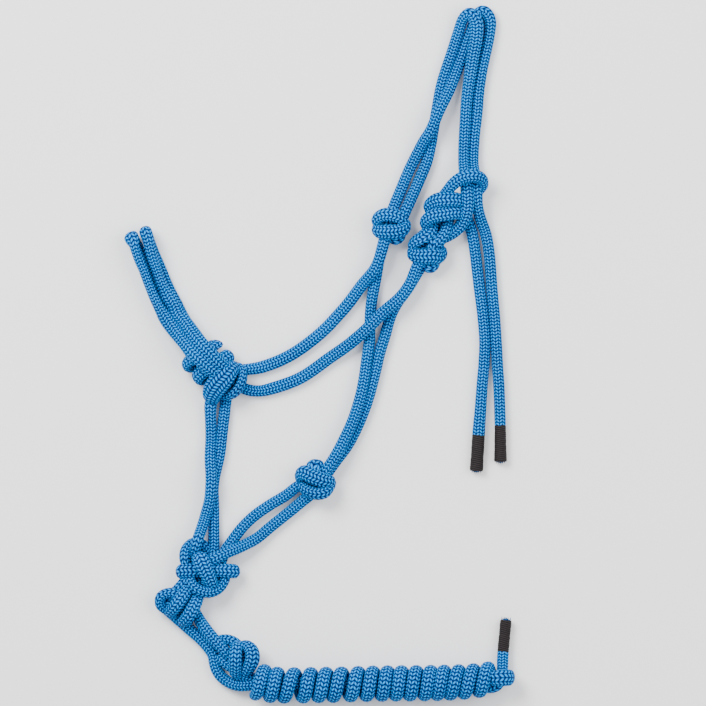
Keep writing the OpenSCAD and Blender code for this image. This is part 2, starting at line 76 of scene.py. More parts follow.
# ------------------------------------------------------------------ routes
# Centre lines of the rope. Each knot is a set of turns whose ends are inside it.
# A fourth value is how wide the rope is squeezed there, as a multiple of its diameter.
ROPES = {
    # crown: near run, turn at the top, far run
    "crown_outer": [
        (86, 85, 8), (92, 87.5, 9), (98, 90.5, 10.5, 1.05), (104.5, 96, 13, 1.1), (109, 104, 15.5, 1.15),
        (110.6, 112.5, 17, 1.15), (110.4, 122, 17, 1.15), (109.3, 132, 14.5, 1.1), (108, 143, 9.5),
        (108, 155, 7.5), (109, 176, 8), (110, 191, 8), (114.2, 221, 10, 1.1), (117.3, 240, 12, 1.15),
        (117, 250, 12.5, 1.2), (112.8, 256, 11.5, 1.15), (107.6, 252.4, 8.5), (104, 242.6, 6),
        (99.4, 228, 4.5), (93.2, 208.5, 4.5), (88, 185, 4.5), (86, 175, 4.5), (83, 160, 4.5),
        (80, 145, 4.5), (74, 130, 5), (69, 119, 7), (64.5, 110, 9), (60, 102, 9), (54, 96, 9)],
    # right tail, near run, turn at the top, far run: one stretch of rope
    "inner_tail": [
        (135.4, -80, 4.8, 1.12), (135.3, -66, 4.8, 1.04), (135.2, -52, 4.8), (134.2, -23, 4.6),
        (133.2, -8, 4.5), (132.2, 10.5, 4.5), (131, 28, 4.5), (129.1, 49, 4.5), (127.4, 72, 4.5),
        (126, 83, 4.6), (123.8, 93, 5), (120.8, 101, 7.5), (118.3, 110, 11), (117.2, 120, 13.5, 1.1),
        (116.6, 131, 12.5, 1.1), (114.8, 143, 6), (115.5, 161, 4.5), (118, 184, 4.5), (119, 197, 4.5),
        (121.5, 214, 4.5), (125, 230, 4.5), (127.3, 242, 4.5), (127.3, 252, 4.5, 1.1),
        (122.5, 258, 4.5, 1.1), (117.5, 255, 4.5), (115, 247, 4.5), (111, 236, 4.5), (108, 227, 4.5),
        (103.5, 216, 4.5), (96.5, 199, 8), (90, 185, 12.5), (86, 175, 13), (82.5, 167, 12), (77, 158, 8),
        (67, 139, 4.5), (60, 122, 5), (56.5, 113, 7), (54, 105, 9), (52, 98, 9)],
    # eye loop, from the near cheek knot up, round the crown pair and back
    "eye": [
        (83, 102, 9), (86.5, 109, 10), (91, 117, 14), (95.5, 123, 19), (100.5, 128.7, 23.5, 1.1),
        (107, 133, 25.5, 1.15), (114.5, 134.3, 25, 1.15), (120.5, 132.3, 20, 1.1), (122, 127.5, 13),
        (117.5, 122.5, 7), (110, 118, 4.8), (101, 112, 4.8), (93, 106, 6)],
    # cheek strands, from the cheek knots to the nose knot
    "cheek_near": [
        (80, 76, 9), (73.5, 67.5, 12), (67.3, 52.9, 13, 1.04), (60.3, 43.3, 13, 1.06),
        (46.8, 31.3, 13, 1.08), (34.8, 19.2, 12, 1.08), (21.3, 7.7, 8, 1.08), (7.8, -1.8, 4.7, 1.08),
        (-14.8, -17.3, 4.5, 1.08), (-37.4, -25.5, 4.5, 1.08), (-45, -27, 4.5), (-53, -26.5, 6),
        (-60, -24, 8)],
    "cheek_far": [
        (52, 96, 9), (48.5, 85, 12), (45, 73, 13), (40.7, 63, 11, 1.04), (31.9, 52.7, 6, 1.06),
        (21.4, 38.8, 4.5, 1.08), (15.3, 31.7, 4.5, 1.08), (0.3, 16.2, 4.5, 1.08),
        (-22.4, -0.3, 4.5, 1.08), (-43.4, -9, 4.5, 1.08), (-56, -11, 6), (-66, -12, 8)],
    # throat strands, from the cheek knots to the throat knot
    "throat_near": [
        (80, 74, 5), (74, 64, 4.5), (66, 50, 4.5), (58, 39, 4.5), (53, 29, 4.5), (49, 15, 4.5),
        (45, 2, 4.5), (41, -15, 4.5), (35.5, -35, 4.5), (28, -54, 4.5), (20, -69, 4.5), (13, -78, 5),
        (6, -87, 6), (0, -94, 7)],
    "throat_far": [
        (50, 92, 5), (46.5, 80, 4.5), (43, 66, 4.5), (40, 49, 4.5), (38, 34.5, 4.5), (37, 10.5, 5),
        (35, -4, 7), (31.5, -26, 9), (25, -48, 11), (18, -63.5, 12.5), (10.8, -77, 13.5),
        (4.5, -86.5, 13), (0, -93, 10)],
    # jaw strands, from the throat knot to the fiador knot
    "jaw_upper": [
        (-4, -95, 8), (-12, -97, 7.5), (-17, -99, 6.5), (-25, -105, 5), (-37.5, -112.5, 4.5),
        (-49, -120.5, 4.5), (-58, -129, 5), (-66, -139, 5.5), (-72, -147, 6), (-76, -155, 7)],
    "jaw_lower": [
        (-4, -101, 7), (-11.3, -107.5, 5.5), (-19.8, -115, 4.7), (-36.5, -128.5, 4.5), (-48, -137.9, 6.5),
        (-60, -144.1, 11), (-70, -148.2, 15.5), (-78, -152, 17, 1.1), (-86, -156.5, 14.5, 1.1),
        (-93, -159.5, 11)],
    # chin strands, from the nose knot to the fiador knot
    "chin_near": [
        (-72, -18, 7), (-76.5, -23, 6.5), (-80, -30, 7, 1.1), (-82, -38, 7.5, 1.1), (-82, -47, 6.5),
        (-81.5, -56, 5.5), (-81, -66, 5), (-81, -79, 8), (-81, -90, 11), (-81.5, -99, 13),
        (-82.5, -109, 11.5), (-86, -122, 9), (-89.5, -132.5, 13), (-91.6, -138.5, 17), (-93.2, -144, 16),
        (-94.4, -149.5, 10), (-94, -156, 7)],
    "chin_far": [
        (-68, -20, 6), (-70.5, -31, 4.6), (-72, -45, 4.5), (-73.5, -56, 4.5), (-76, -71, 4.5),
        (-79, -86, 4.5), (-80.5, -99, 4.5), (-80.3, -109, 4.5), (-80, -122, 4.6), (-79.5, -133.5, 5),
        (-79, -145, 6), (-79.5, -153, 7)],
    # noseband pair: over the near nose knot, out to the fold and back beneath
    "nose_left": [
        (-70, -20, 14), (-76, -15.5, 20, 1.1), (-82, -10.5, 25, 1.2), (-89, -4.5, 27, 1.2),
        (-96, 2, 25.5, 1.2), (-102.5, 10, 21, 1.15), (-109.7, 19, 16, 1.25), (-117.6, 30, 13.5, 1.36),
        (-123.4, 41, 13, 1.38), (-127.6, 51, 13, 1.36), (-132.8, 65, 13.5, 1.3), (-137.6, 77, 15, 1.26),
        (-140.1, 85, 15, 1.27), (-141.6, 88.5, 12.5, 1.28), (-141.5, 88.5, 7.5, 1.28),
        (-137.8, 82.5, 4.5), (-134.4, 75, 4.5), (-129.6, 63, 4.5), (-124.5, 50, 4.5), (-120.2, 40, 4.5),
        (-113.4, 28, 4.5), (-106, 16, 5), (-99, 4, 6), (-92, -6, 7)],
    "nose_right": [
        (-64, -14, 14), (-70, -9.5, 20, 1.1), (-76.2, -4.9, 25, 1.25), (-82.8, 2, 27, 1.25),
        (-89.6, 9, 25.5, 1.25), (-95.8, 16.4, 21, 1.25), (-101.8, 25, 16, 1.2), (-107, 31.7, 13.5, 1.3),
        (-112, 40.5, 13, 1.35), (-118.2, 52, 13, 1.33), (-123.2, 66.5, 13.5, 1.18),
        (-126.8, 78, 15, 1.06), (-129.3, 88, 15, 1.08), (-131, 92.5, 12.5, 1.1), (-130.5, 92, 7.5, 1.1),
        (-128, 85, 4.5), (-125, 77, 4.5), (-119.8, 65, 4.5), (-113.8, 50.5, 4.5), (-107.8, 39, 4.5),
        (-102.3, 28, 4.5), (-95, 18, 5), (-87, 7, 6), (-80, -2, 7)],
    # left tail, from the hitch down
    "tail_left": [
        (104, 112, 4.5), (109, 105, 4.5), (112.5, 97, 4.6), (114.7, 88, 4.5), (116.5, 76, 4.5),
        (117.9, 64, 4.5), (119.7, 49, 4.5), (122.1, 30, 4.5), (123.6, 10.5, 4.5), (123.1, -5, 4.5),
        (121.6, -23, 4.5), (120.3, -42, 4.7, 1.04), (119, -59, 4.8, 1.12), (118.1, -74, 4.8, 1.12),
        (117.3, -87, 4.8, 1.18)],
    # turns of the near and the far cheek knot
    "near_a": [
        (84.5, 101.5, 8), (84, 97, 11.5, 1.1), (81.8, 92.3, 15, 1.4), (77.6, 88.8, 17, 1.6),
        (72.6, 85.8, 15.5, 1.4), (69.4, 82.2, 11.5, 1.2), (73.5, 79, 8)],
    "near_b": [
        (96.8, 103, 8), (95.6, 98, 12), (93.8, 91.7, 15), (90, 86, 15.5, 1.1), (86, 81.5, 13, 1.2),
        (80, 80.5, 10)],
    "near_c": [
        (75, 82, 8), (70.8, 80, 10, 1.15), (69, 75.6, 13.5, 1.25), (76.5, 73.8, 18.5, 1.4),
        (84, 74, 18.5, 1.45), (89.5, 73.6, 14, 1.4), (92, 76.8, 9.5, 1.15), (88, 80.5, 7)],
    "near_d": [
        (80, 72, 7), (79.4, 67.4, 9, 1.1), (82.3, 65, 10.5, 1.2), (85.8, 67.6, 8.5, 1.1), (85.5, 73, 7)],
    "near_e": [(73, 82, 7), (80, 80, 10, 1.2), (87, 79.5, 9)],
    "near_f": [(77, 92, 7), (83, 89.5, 9, 1.5), (89, 87, 8, 1.3)],
    "near_g": [
        (83.5, 98, 7), (84, 93, 12, 1.05), (84.4, 87.5, 15, 1.2), (84.5, 83, 15, 1.3),
        (84, 79.5, 11, 1.2)],
    "far_a": [
        (51, 97, 9, 1.1), (45.3, 97.5, 10, 1.15), (42.2, 100.8, 13, 1.2), (46.4, 104.8, 17.5, 1.3),
        (53.5, 105.2, 19, 1.3), (60.3, 102.6, 17, 1.25), (63.2, 98.6, 11.5, 1.1), (60, 96.5, 8)],
    "far_b": [
        (50, 98, 8, 1.1), (44.3, 97, 10, 1.15), (42.5, 93.3, 13.5, 1.25), (50.2, 92, 19, 1.35),
        (57.8, 92.4, 19.5, 1.35), (63.4, 94.6, 17, 1.25), (64.2, 98.3, 13.5, 1.1), (60.5, 100.3, 9)],
    "far_c": [(53, 92, 7), (54, 88, 9, 1.15), (57.2, 86.2, 10.5, 1.2), (60.2, 89, 8.5, 1.1), (59, 94, 7)],
    "far_d": [(45, 99.5, 9), (52, 98.6, 12, 1.2), (59, 98, 12)],
    # hitch turns round the neck of the eye loop
    "hitch_a": [
        (90, 108, 5), (84, 107.5, 8, 1.1), (81.5, 111.5, 14, 1.2), (87.2, 115.8, 20, 1.35),
        (95.5, 116.8, 22.5, 1.35), (103.5, 116.3, 19, 1.3), (108, 113, 10, 1.1)],
    "hitch_b": [
        (90, 98, 5), (82.5, 95.8, 8, 1.1), (78.6, 98.7, 14, 1.2), (84, 104, 20.5, 1.3),
        (93.5, 105.8, 22, 1.3), (102.5, 106.8, 18.5, 1.25), (107, 104, 10, 1.1)],
    "hitch_c": [(84, 98, 5), (90, 98, 5.3, 1.1), (95.5, 99, 5)],
    # turns of the nose knots: the far one, then the near one beside it
    "nose_a": [
        (-90, -7, 5), (-97.9, -8.6, 8, 1.15), (-100, -6.4, 12, 1.2), (-96, -3.2, 17, 1.2),
        (-88.5, 0.5, 18.5, 1.2), (-82.2, 5.4, 16.5, 1.35), (-78.5, 8.3, 11, 1.45), (-83, 3, 5)],
    "nose_b": [
        (-82, -15, 5), (-90, -18.6, 8, 1.2), (-92, -16.6, 12, 1.35), (-87.4, -12.2, 17, 1.3),
        (-80, -7.5, 18.5, 1.25), (-72.2, -2.6, 16.5, 1.25), (-68.3, -0.4, 11, 1.25), (-74, -4, 5)],
    "nose_c": [
        (-67, -13, 6), (-63.5, -9.2, 12, 1.15), (-66.5, -10.4, 20, 1.45), (-70.3, -15, 24, 1.7),
        (-75.5, -20.5, 24, 1.9), (-80, -26.5, 20.5, 1.8), (-82.2, -32, 13.5, 1.45), (-80, -33.5, 6, 1.1),
        (-76, -29, 5)],
    "nose_d": [
        (-66, -10, 6), (-60.5, -10.5, 9, 1.15), (-57.8, -15.3, 13.5, 1.4), (-59.2, -21.6, 16, 1.5),
        (-63.3, -27.6, 16, 1.4), (-69.5, -30.3, 12, 1.2), (-75, -29, 7)],
    "nose_e": [(-61, -14, 7), (-65, -20.5, 10, 1.5), (-71, -26, 8, 1.3)],
    # throat knot turns
    "throat_a": [
        (-7, -92, 8), (-6, -88, 13, 1.35), (-4.8, -84, 15, 1.5), (-3, -81.3, 11, 1.4), (-2, -84, 5)],
    "throat_b": [
        (-6, -95, 6), (-13, -94, 8, 1.1), (-15.4, -90.3, 12, 1.25), (-12.2, -87.9, 17.5, 1.35),
        (-5, -91.1, 21, 1.35), (2.5, -94, 20, 1.3), (7.2, -95, 15.5, 1.2), (7.6, -98.2, 10.5, 1.1),
        (4, -99, 7)],
    "throat_c": [
        (-8, -95, 8), (-13, -97.7, 10, 1.1), (-10.8, -101, 14, 1.2), (-5, -103.8, 17.5, 1.25),
        (1, -104, 18, 1.25), (5.4, -101.8, 15.5, 1.2), (6.6, -98.8, 12), (3, -96, 7)],
    "throat_d": [(-9, -96, 8), (-1, -98.3, 11, 1.2), (5, -98.8, 9)],
    # fiador knot turns
    "fiador_a": [
        (-82.5, -152, 5), (-85, -147, 6), (-89.3, -141.6, 8, 1.05), (-96, -141.3, 8.5, 1.1),
        (-100.9, -147, 11, 1.1), (-101.2, -154, 12, 1.1), (-98.5, -160, 9)],
    "fiador_b": [
        (-94, -166, 5), (-101.5, -165, 8, 1.1), (-104.8, -162.3, 13, 1.25), (-96, -161.6, 16.5, 1.25),
        (-87, -162, 13, 1.1), (-77, -161.5, 15.5, 1.2), (-68.5, -161.8, 15.5, 1.25),
        (-63.3, -162.3, 10.5, 1.2), (-70, -163, 5)],
    "fiador_c": [
        (-91, -157, 9), (-92, -151.8, 15, 1.15), (-89.6, -152.8, 22, 1.4), (-87, -158.5, 24, 1.45),
        (-83.5, -166, 22.5, 1.3), (-81, -171.5, 18, 1.15), (-80.5, -174, 9), (-82, -172, 5)],
    "fiador_d": [
        (-96, -162, 8), (-97.6, -168.5, 14, 1.05), (-92.8, -175.3, 17.5, 1.1), (-83.8, -177.9, 16.5, 1.1),
        (-76.2, -175, 14, 1.05), (-71.8, -168.5, 11), (-72, -163, 6)],
    "fiador_e": [(-96, -156, 8), (-88, -158, 9, 1.2), (-78, -157, 8)],
    "fiador_f": [(-92, -171, 6), (-85, -170, 9, 1.25), (-77, -168, 7)],
    # fiador loops over the lead's bight
    "loop_a": [
        (-92, -167.5, 7), (-95.3, -170.3, 8.5), (-98.3, -174.8, 12, 1.05), (-103.5, -181.4, 17.5, 1.18),
        (-108.3, -188.2, 17, 1.16), (-112.2, -193.2, 9.5, 1.05), (-107, -194, 4.5)],
    "loop_b": [
        (-86, -171, 6), (-89, -174.8, 7.5), (-91.1, -180.3, 11, 1.05), (-94.2, -187.9, 16.5, 1.18),
        (-98.3, -195.2, 16.5, 1.18), (-102.4, -200.1, 9.5, 1.05), (-98, -198, 4.5)],
    "loop_c": [
        (-95, -166, 9), (-100.5, -169.2, 11.5), (-105.2, -174.4, 12), (-109.5, -179, 8),
        (-112, -183, 4.5)],
    "loop_d": [(-93, -176, 5), (-99, -185, 6.5, 1.3), (-104.5, -193, 5)],
    "loop_e": [(-104.5, -179, 7), (-110.5, -184.5, 9, 1.4), (-114, -190.5, 6, 1.2)],
    # lead, one stretch of rope: neck strand, bight through the loops, other neck strand, turn round the
    # knot, and core of the wrapped turns
    "lead_neck": [
        (-58, -232, 9), (-64.5, -228.5, 10), (-71, -222.5, 12.5, 1.15), (-78, -215, 13, 1.2),
        (-84.3, -207.7, 11, 1.2), (-88.8, -201.4, 8.5, 1.25), (-92.8, -194.3, 6.5, 1.15),
        (-96.5, -187, 6.5), (-102, -182, 9), (-107.5, -179.6, 12.5), (-114, -178.5, 13, 1.15),
        (-119.4, -181.2, 12, 1.2), (-119.8, -186.3, 9.5, 1.15), (-114.8, -191, 6.5), (-107.8, -197.2, 5),
        (-99.8, -204.3, 4.7), (-91.4, -211.4, 4.6), (-85, -218.2, 4.6), (-80.3, -225, 4.6),
        (-79.3, -231, 4.8), (-76.6, -238.2, 5), (-70.5, -244.3, 5.4), (-62, -247.8, 7), (-52, -247.6, 10),
        (-36, -246, 12.8), (0, -246, 12.8), (60, -246, 12.8), (115, -244.5, 13)],
    # turns of the lead's stopper knot
    "lead_a": [
        (-61, -238, 6), (-63, -239, 9, 1.1), (-63.6, -236.5, 15, 1.18), (-63.5, -229, 20.5, 1.18),
        (-63.1, -221.5, 19, 1.18), (-62.2, -218.3, 12, 1.1), (-59, -221, 7)],
    "lead_b": [
        (-54, -236, 6), (-55.6, -238.4, 10, 1.1), (-53.8, -235.5, 16, 1.2), (-50.4, -228, 20.5, 1.38),
        (-51, -221.5, 19, 1.32), (-55.6, -217.6, 13.5, 1.2), (-60, -219.5, 8)],
    "lead_c": [
        (-80, -218, 4.8), (-76, -214.8, 6.5), (-70, -213.7, 8), (-64, -215.8, 8.5), (-60, -220, 7)],
    "lead_d": [(-75, -226, 6), (-70.5, -231, 9), (-64, -235, 11, 1.1), (-55, -231, 12, 1.2)],
    "lead_e": [(-57.3, -220, 7), (-57.3, -228, 8.5, 1.3), (-57.8, -236, 7)],
    "lead_f": [(-63, -240, 8), (-55, -241.5, 8.5, 1.1), (-47, -243.5, 9), (-40, -245, 11)],
    # the lead's other end: a bight, then the tucked strand and its free end
    "lead_bump": [
        (122, -243, 12), (128, -242.3, 19, 1.25), (134.5, -241.9, 23, 1.45), (140, -241.9, 20.5, 1.45),
        (142.7, -242, 14, 1.35), (140.5, -242, 8, 1.1), (134, -242.5, 5.5)],
    "lead_tip": [
        (121, -248.5, 7), (126.5, -249.3, 9.5, 1.2), (131.2, -247.6, 11.5, 1.35),
        (134.6, -244, 11.5, 1.15), (136.5, -239, 10.5), (136.9, -234.5, 8.5), (137, -229, 6.5),
        (137.5, -221, 5.3), (138.6, -209, 4.9), (139.5, -199, 4.8)],
}

# Strands of the halter rope that settle moves apart where they lie in each other
STRANDS = [
    "crown_outer", "inner_tail", "cheek_near", "cheek_far", "throat_near", "throat_far", "jaw_upper",
    "jaw_lower", "chin_near", "chin_far", "nose_left", "nose_right", "tail_left"]

# Points that the ropes in a knot are squeezed away from, by the start of the ropes' names
MIDDLES = {
    "near": (80, 78, 8), "far": (53, 98, 8), "nose": (-79, -10, 8), "nose_c": (-74, -18, 4),
    "throat_": (-3, -93, 8), "fiador": (-86, -162, 6), "lead_": (-57, -228, 8), "hitch_a": (95, 112, 8),
    "hitch_b": (93, 101, 8), "lead_bump": (134, -241, 13), "lead_tip": (133, -244, 8)}

# Where each wrapped turn passes its upper and its lower edge, along the lead, and its middle across the lead
TURN_TOPS = [-41.5, -32, -19.5, -7, 4.5, 16, 28.5, 39.5, 50.5, 61, 72, 83, 93, 104, 115, 126]
TURN_FEET = [-48.5, -37.5, -27, -12.5, -1, 10, 23, 35, 46.5, 57, 67.5, 78.5, 88, 97.5, 108, 119.5]
TURN_Y = [
    -245.4, -247.3, -247.7, -247.6, -247.4, -247.2, -246.8, -246.5, -246.3, -246.2, -246.1, -246,
    -245.8, -245.5, -244.8, -243.4]
COIL_Z = 14.0               # height of the winding's middle
COIL_R = 9.8                # from its middle to the rope's centre line
COIL_WIDE = 1.14            # how wide each turn is pressed
HALF_TURN = 24              # points in half a turn
LAST_TURN = 40              # points in the last turn, which ends under the lead's bight
LAST_RUN = 4                # how far a whole back of the last turn would run on along the lead


def lengths(q):
    """Length along a line at each of its points."""
    return np.concatenate([[0], np.cumsum(np.linalg.norm(np.diff(q[:, :3], axis=0), axis=1))])


def resample(q, step):
    """The same line with its points step apart."""
    s = lengths(q)
    n = max(3, int(round(s[-1] / step)) + 1)
    t = np.linspace(0, s[-1], n)
    return np.stack([np.interp(t, s, q[:, k]) for k in range(q.shape[1])], axis=1)


def spline(points, fine=0.4):
    """A smooth line through a route's points, with the rope's width as a fourth value."""
    p = np.array([tuple(q) if len(q) == 4 else (*q, 1.0) for q in points], float)
    p = np.vstack([2 * p[0] - p[1], p, 2 * p[-1] - p[-2]])
    out = []
    for i in range(1, len(p) - 2):
        a, b, c, d = p[i - 1:i + 3]
        n = max(2, int(np.linalg.norm(c - b) / fine))
        ta = max(np.linalg.norm(b - a), 1e-6) ** 0.5
        tb = max(np.linalg.norm(c - b), 1e-6) ** 0.5
        tc = max(np.linalg.norm(d - c), 1e-6) ** 0.5
        m1 = (c - b) + tb * ((b - a) / ta - (c - a) / (ta + tb))
        m2 = (c - b) + tb * ((d - c) / tc - (d - b) / (tb + tc))
        t = np.linspace(0, 1, n, endpoint=False)[:, None]
        out.append((2 * t**3 - 3 * t**2 + 1) * b + (t**3 - 2 * t**2 + t) * m1
                   + (3 * t**2 - 2 * t**3) * c + (t**3 - t**2) * m2)
    out.append(p[-2:-1])
    return resample(np.vstack(out), ROUTE_STEP)


def coil_line():
    """The wrapped turns, from the knot to the free end; each runs up its front and down its back."""
    feet = TURN_FEET + [TURN_TOPS[-1] + LAST_RUN]
    middles = TURN_Y + [TURN_Y[-1]]
    points = []
    for i, top in enumerate(TURN_TOPS):
        for k in range(2 * HALF_TURN if i < len(TURN_TOPS) - 1 else LAST_TURN):
            a = k / HALF_TURN
            back = max(0, a - 1)
            x = feet[i] + (top - feet[i]) * a if a < 1 else top + (feet[i + 1] - top) * back
            y = middles[i] + (middles[i + 1] - middles[i]) * back
            turn = math.pi * a
            points.append((x, y - COIL_R * math.cos(turn), COIL_Z + COIL_R * math.sin(turn), COIL_WIDE))
    return np.array(points)


def settle(lines, names, rounds=70, gap=7.7, skip=7, force=0.9, fade=0.985, batch=600):
    """Pushes strands that lie in each other apart and lifts them off the floor.

    Their centre lines end about gap apart, because soft ropes press into each other. Points of one strand
    that are fewer than skip apart aren't compared, and each move fades, so strands stay near their routes.
    """
    start = [lines[n][:, :3] for n in names]
    moves = [np.zeros_like(q) for q in start]
    owner = np.concatenate([np.full(len(q), i) for i, q in enumerate(start)])
    along = np.concatenate([np.arange(len(q)) for q in start])
    for _ in range(rounds):
        p = np.vstack([s + m for s, m in zip(start, moves)])
        push = np.zeros((len(p), 3))
        count = np.zeros(len(p))
        for lo in range(0, len(p), batch):
            some = slice(lo, min(lo + batch, len(p)))
            d = p[some, None, :] - p[None, :, :]
            dist = np.sqrt((d**2).sum(2))
            same = owner[some, None] == owner[None, :]
            near = np.abs(along[some, None] - along[None, :]) < skip
            dist[same & near] = np.inf
            i, j = np.nonzero(dist < gap)
            way = d[i, j] / np.maximum(dist[i, j], 0.5)[:, None]
            np.add.at(push, lo + i, way * ((gap - dist[i, j]) * 0.5)[:, None])
            np.add.at(count, lo + i, 1)
        push /= np.maximum(count, 1)[:, None]
        at = 0
        for k, q in enumerate(start):
            move = moves[k] + push[at:at + len(q)] * force
            for _ in range(2):
                move[1:-1] = 0.5 * move[1:-1] + 0.25 * (move[:-2] + move[2:])
            move *= fade
            move[:, 2] += np.maximum(FULL_R - (q[:, 2] + move[:, 2]), 0)
            moves[k] = move
            at += len(q)
    lines.update({n: np.column_stack([s + m, lines[n][:, 3]]) for n, s, m in zip(names, start, moves)})


lines = {name: spline(points) for name, points in ROPES.items()}
settle(lines, STRANDS)
lines["coil"] = coil_line()


# ------------------------------------------------------------------ rope meshes
def middle_of(key):
    """A function that gives the point each point of a rope is squeezed away from, or None."""
    if key == "coil":
        return lambda q: np.column_stack([q[:, 0], np.interp(q[:, 0], TURN_TOPS, TURN_Y),
                                          np.full(len(q), COIL_Z)])
    best = max((k for k in MIDDLES if key.startswith(k)), key=len, default=None)
    if best is None:
        return None
    return lambda q: np.array(MIDDLES[best], float)


def frames(q, turn):
    """The line's direction and two vectors square to it, which don't twist along the line."""
    t = np.gradient(q, axis=0)
    t /= np.linalg.norm(t, axis=1)[:, None]
    a = np.array([math.cos(turn), math.sin(turn), 0.35])
    a -= a.dot(t[0]) * t[0]
    a /= np.linalg.norm(a)
    side = [a]
    for i in range(1, len(q)):
        a = side[-1] - side[-1].dot(t[i]) * t[i]
        side.append(a / np.linalg.norm(a))
    side = np.array(side)
    return t, side, np.cross(t, side)


def outward(q, t, middle):
    """Unit vectors square to the line, away from the knot's middle, or up where there is none."""
    out = np.tile([0.0, 0.0, 1.0], (len(q), 1)) if middle is None else q - middle(q)
    out = out - (out * t).sum(1)[:, None] * t
    out /= np.maximum(np.linalg.norm(out, axis=1), 1e-3)[:, None]
    return out


def stitch(u, v):
    """Height of the braid from 0 in a slit to 1 on a stitch, for u in columns and v in stitches."""
    k = np.floor(u)
    c = u - k - 0.5
    q = v + (np.mod(k, 2) * 2 - 1) * c * SLANT
    f = q - np.floor(q) - 0.5
    return (1 - np.abs(2 * f) ** ALONG_POWER) * (1 - ACROSS_DIP * np.abs(2 * c) ** ACROSS_POWER)


def thread(u, v):
    """Height of a whipping's fine slanted thread, from 0 to 1."""
    return np.abs(np.sin(np.pi * (v * THREADS + u * THREAD_SLANT))) ** 0.6


def tube(q, turn=0.0, r=FULL_R, relief=SLIT, middle=None, part=None, sides=SEGMENTS, step=STEP,
         height=stitch, shape=None):
    """Vertices, faces and braid coordinates of a rope along q, or of a part of it between two lengths."""
    q = resample(q, step)
    for _ in range(3):
        q[1:-1] = 0.5 * q[1:-1] + 0.25 * (q[:-2] + q[2:])
    wide = q[:, 3]
    q = q[:, :3]
    t, a, b = frames(q, turn)
    out = outward(q, t, middle)
    side = np.cross(t, out)
    u = np.arange(sides) * COLUMNS / sides
    v = np.arange(len(q)) * step / PITCH
    rad = r - relief * (1 - height(u[None, :], v[:, None]))
    if shape is not None:
        rad = rad * shape(np.arange(len(q)) * step)[:, None]
    ang = np.arange(sides) * 2 * math.pi / sides
    cos = np.cos(ang)[None, :, None]
    sin = np.sin(ang)[None, :, None]
    d = rad[..., None] * (a[:, None, :] * cos + b[:, None, :] * sin)
    thin = 1 - SQUEEZE * (wide - 1)
    d = (side[:, None, :] * ((d * side[:, None, :]).sum(2) * wide[:, None])[..., None]
         + out[:, None, :] * ((d * out[:, None, :]).sum(2) * thin[:, None])[..., None])
    keep = slice(0, len(q))
    if part is not None:
        keep = slice(max(0, int(round(part[0] / step))), min(len(q), int(round(part[1] / step)) + 1))
    rings = (q[:, None, :] + d)[keep]
    return skin(rings, q[keep], t[keep], u, v[keep])


def skin(rings, q, t, u, v, cap=0.6):
    """Joins a rope's rings with quads and closes its ends with fans round a point cap beyond them."""
    m, n = rings.shape[:2]
    verts = np.vstack([rings.reshape(-1, 3), q[:1] - t[:1] * cap, q[-1:] + t[-1:] * cap])
    i, k = np.meshgrid(np.arange(m - 1), np.arange(n), indexing="ij")
    k2 = (k + 1) % n
    quads = np.stack([i * n + k, i * n + k2, (i + 1) * n + k2, (i + 1) * n + k], axis=-1).reshape(-1, 4)
    u2 = u[k] + COLUMNS / n
    uvq = np.stack([np.stack([u[k], v[i]], -1), np.stack([u2, v[i]], -1),
                    np.stack([u2, v[i + 1]], -1), np.stack([u[k], v[i + 1]], -1)], axis=-2)
    k = np.arange(n)
    first = np.stack([np.full(n, m * n), (k + 1) % n, k], axis=-1)
    last = np.stack([np.full(n, m * n + 1), (m - 1) * n + k, (m - 1) * n + (k + 1) % n], axis=-1)
    tris = np.vstack([first, last])
    uvt = np.vstack([np.stack([np.stack([u, np.full(n, end)], -1)] * 3, axis=-2) for end in (v[0], v[-1])])
    return verts, quads, tris, uvq, uvt


def mesh_object(name, pieces, material):
    """One object from the tubes in pieces, with their braid coordinates as its UV map."""
    verts, quads, tris, uvq, uvt = [], [], [], [], []
    base = 0
    for p in pieces:
        verts.append(p[0])
        quads.append(p[1] + base)
        tris.append(p[2] + base)
        uvq.append(p[3].ravel())
        uvt.append(p[4].ravel())
        base += len(p[0])
    verts = np.vstack(verts) * MM
    quads = np.vstack(quads)
    tris = np.vstack(tris)
    nq = len(quads)
    nt = len(tris)
    corners = np.concatenate([quads.ravel(), tris.ravel()])
    mesh = bpy.data.meshes.new(name)
    mesh.vertices.add(len(verts))
    mesh.vertices.foreach_set("co", verts.astype(np.float32).ravel())
    mesh.loops.add(len(corners))
    mesh.loops.foreach_set("vertex_index", corners.astype(np.int32))
    mesh.polygons.add(nq + nt)
    starts = np.concatenate([np.arange(nq) * 4, nq * 4 + np.arange(nt) * 3])
    mesh.polygons.foreach_set("loop_start", starts.astype(np.int32))
    mesh.polygons.foreach_set("use_smooth", np.ones(nq + nt, bool))
    uv = mesh.uv_layers.new(name="braid")
    uv.data.foreach_set("uv", np.concatenate(uvq + uvt).astype(np.float32))
    mesh.update(calc_edges=True)
    mesh.validate()
    mesh.materials.append(material)
    obj = bpy.data.objects.new(name, mesh)
    bpy.context.scene.collection.objects.link(obj)
    return obj


